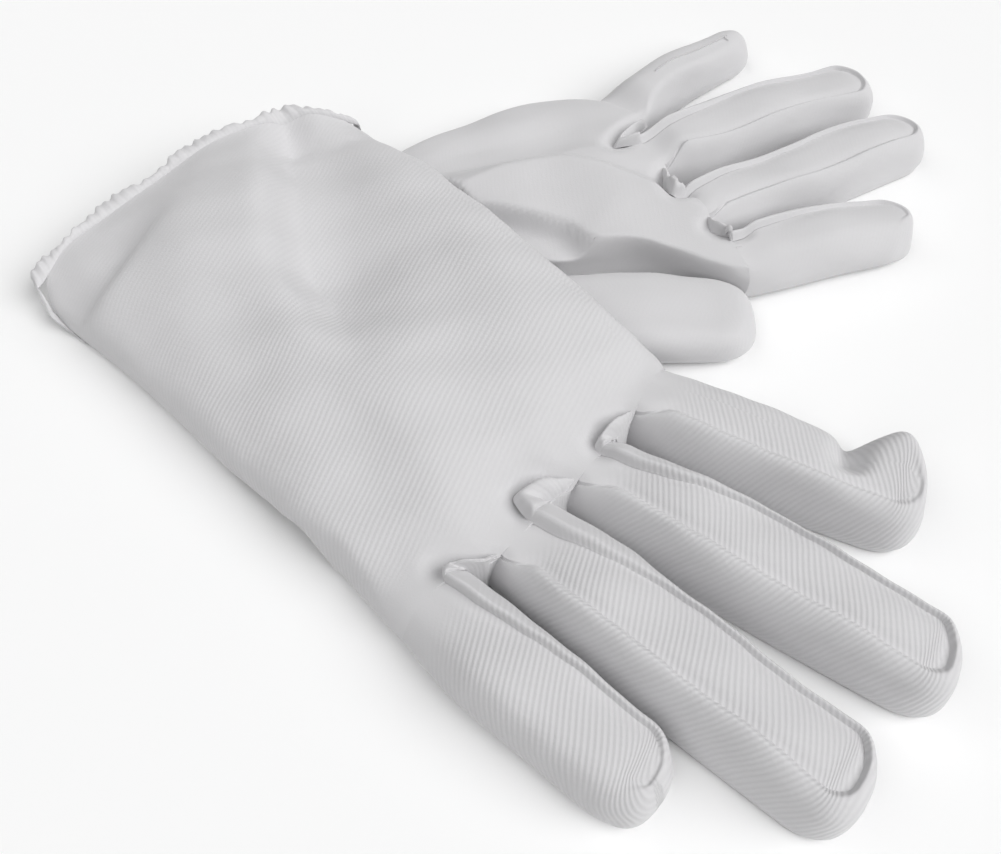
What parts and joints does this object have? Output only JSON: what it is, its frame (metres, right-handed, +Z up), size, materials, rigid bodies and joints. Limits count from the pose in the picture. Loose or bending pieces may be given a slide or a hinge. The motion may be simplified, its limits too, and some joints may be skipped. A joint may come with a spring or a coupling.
{
  "type": "pair of knit gloves",
  "caption": "Pair of thin white stretch-knit dress gloves with sewn finger sides and wavy cuff edges, lying flat, one across the other.",
  "frame": {"origin": "on the surface the gloves lie on, under the middle of the pair's bounding box", "axes": "+Z up, +X to the right and +Y away from the viewer of the pair as it lies"},
  "size_m": [0.237, 0.2288, 0.0238],
  "materials": {
    "knit": "fine ribbed knit, matt",
    "hem": "overlocked edge, matt"
  },
  "bodies": {
    "left_glove": {"left_hand_back": "knit", "left_hand_palm": "knit", "left_little_side": "knit", "left_wrist_side": "knit", "left_web_side": "knit", "left_cuff_hem": "hem", "left_little_quirk": "knit", "left_ring_quirk": "knit", "left_middle_quirk": "knit"},
    "left_little": {"left_little_back": "knit", "left_little_palm": "knit", "left_little_fourchette": "knit"},
    "left_ring": {"left_ring_back": "knit", "left_ring_palm": "knit", "left_ring_fourchette": "knit"},
    "left_middle": {"left_middle_back": "knit", "left_middle_palm": "knit", "left_middle_fourchette": "knit"},
    "left_index": {"left_index_back": "knit", "left_index_palm": "knit", "left_index_fourchette": "knit"},
    "left_thumb": {"left_thumb_back": "knit", "left_thumb_palm": "knit", "left_thumb_fourchette": "knit"},
    "right_glove": {"right_hand_back": "knit", "right_hand_palm": "knit", "right_little_side": "knit", "right_index_side": "knit", "right_cuff_hem": "hem", "right_little_quirk": "knit", "right_ring_quirk": "knit", "right_middle_quirk": "knit"},
    "right_little": {"right_little_back": "knit", "right_little_palm": "knit", "right_little_fourchette": "knit"},
    "right_ring": {"right_ring_back": "knit", "right_ring_palm": "knit", "right_ring_fourchette": "knit"},
    "right_middle": {"right_middle_back": "knit", "right_middle_palm": "knit", "right_middle_fourchette": "knit"},
    "right_index": {"right_index_back": "knit", "right_index_palm": "knit", "right_index_fourchette": "knit"},
    "right_thumb": {"right_thumb_back": "knit", "right_thumb_palm": "knit", "right_thumb_fourchette": "knit"}
  },
  "joints": [
    {"name": "right_glove_lift", "type": "slide", "parent": "left_glove", "child": "right_glove", "axis": [0, 0, 1], "range_m": [0, 0.12]},
    {"name": "left_little_bend", "type": "hinge", "parent": "left_glove", "child": "left_little", "pos_m": [0.03449, 0.07682, 0], "axis": [-0.7431, 0.6691, 0], "range_deg": [0, 80]},
    {"name": "left_ring_bend", "type": "hinge", "parent": "left_glove", "child": "left_ring", "pos_m": [0.04159, 0.05664, 0], "axis": [-0.515, 0.8572, 0], "range_deg": [0, 80]},
    {"name": "left_middle_bend", "type": "hinge", "parent": "left_glove", "child": "left_middle", "pos_m": [0.04977, 0.03342, 0], "axis": [-0.4772, 0.8788, 0], "range_deg": [0, 80]},
    {"name": "left_index_bend", "type": "hinge", "parent": "left_glove", "child": "left_index", "pos_m": [0.05897, 0.01842, 0], "axis": [-0.3584, 0.9336, 0], "range_deg": [0, 80]},
    {"name": "left_thumb_bend", "type": "hinge", "parent": "left_glove", "child": "left_thumb", "pos_m": [0.01054, 0.00277, 0], "axis": [0, 1, 0], "range_deg": [0, 80]},
    {"name": "right_little_bend", "type": "hinge", "parent": "right_glove", "child": "right_little", "pos_m": [-0.0121, -0.07317, 0], "axis": [0.6884, 0.7254, 0], "range_deg": [0, 80]},
    {"name": "right_ring_bend", "type": "hinge", "parent": "right_glove", "child": "right_ring", "pos_m": [0.00504, -0.05904, 0], "axis": [0.6691, 0.7431, 0], "range_deg": [0, 80]},
    {"name": "right_middle_bend", "type": "hinge", "parent": "right_glove", "child": "right_middle", "pos_m": [0.02057, -0.04324, 0], "axis": [0.5934, 0.8049, 0], "range_deg": [0, 80]},
    {"name": "right_index_bend", "type": "hinge", "parent": "right_glove", "child": "right_index", "pos_m": [0.03321, -0.02507, 0], "axis": [0.4848, 0.8746, 0], "range_deg": [0, 80]},
    {"name": "right_thumb_swing", "type": "hinge", "parent": "right_glove", "child": "right_thumb", "pos_m": [-0.01478, 0.00729, 0.0095], "axis": [0, 0, 1], "range_deg": [-16, 0]}
  ]
}
